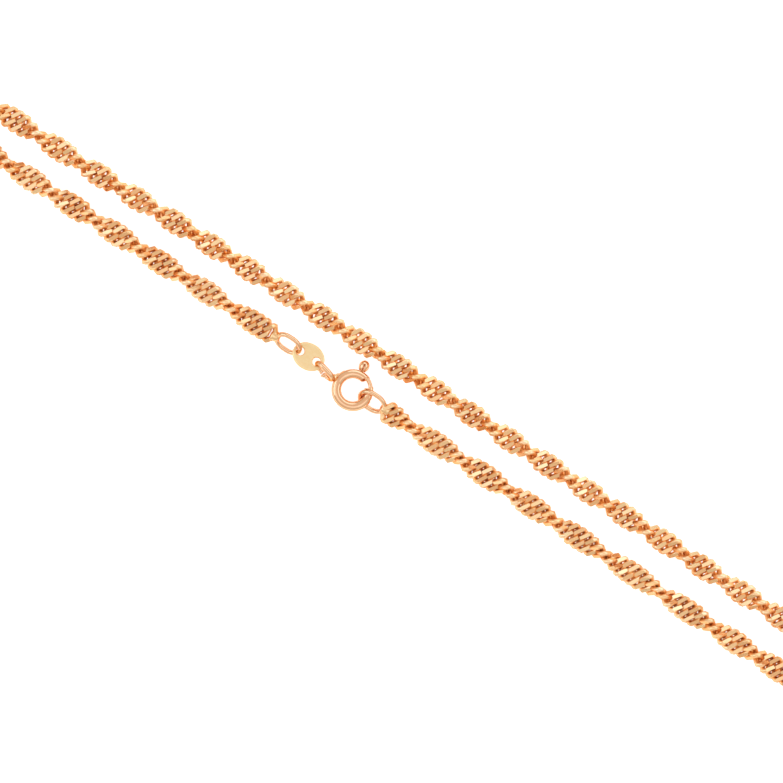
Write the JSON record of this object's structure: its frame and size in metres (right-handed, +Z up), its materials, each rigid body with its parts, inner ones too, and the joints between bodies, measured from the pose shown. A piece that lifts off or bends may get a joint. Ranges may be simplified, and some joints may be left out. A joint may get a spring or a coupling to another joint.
{
  "type": "neck chain",
  "caption": "Twisted curb neck chain in rose gold, laid double, shut by a spring ring clasp with an oval tag.",
  "frame": {"origin": "middle of the laid chain's box in plan, on the surface it lies on", "axes": "+X along the two strands, +Y from the clasp's strand to the plain strand, +Z up from the surface"},
  "size_m": [0.219, 0.017, 0.003],
  "materials": {
    "chain": "rose gold plate, faces cut bright, wire polished",
    "end_ring": "rose gold plate, polished drawn wire with smooth solder",
    "tag": "pale gold plate, satin stamped sheet",
    "clasp": "rose gold plate, polished bent tube",
    "bolt": "rose gold plate, polished wire"
  },
  "bodies": {
    "necklace": {"chain_left": "chain", "chain_right": "chain", "end_ring_left": "end_ring", "tag": "tag", "clasp_body": "clasp", "end_ring_right": "end_ring"},
    "bolt": {"trigger_bolt": "bolt"}
  },
  "joints": [
    {"name": "bolt_slide", "type": "hinge", "parent": "necklace", "child": "bolt", "pos_m": [-0.0043, -0.00295, 0.0015], "axis": [0, 0, 1], "range_deg": [0, 38], "stiffness_Nm_per_rad": 0.002, "springref_deg": -17.19}
  ]
}
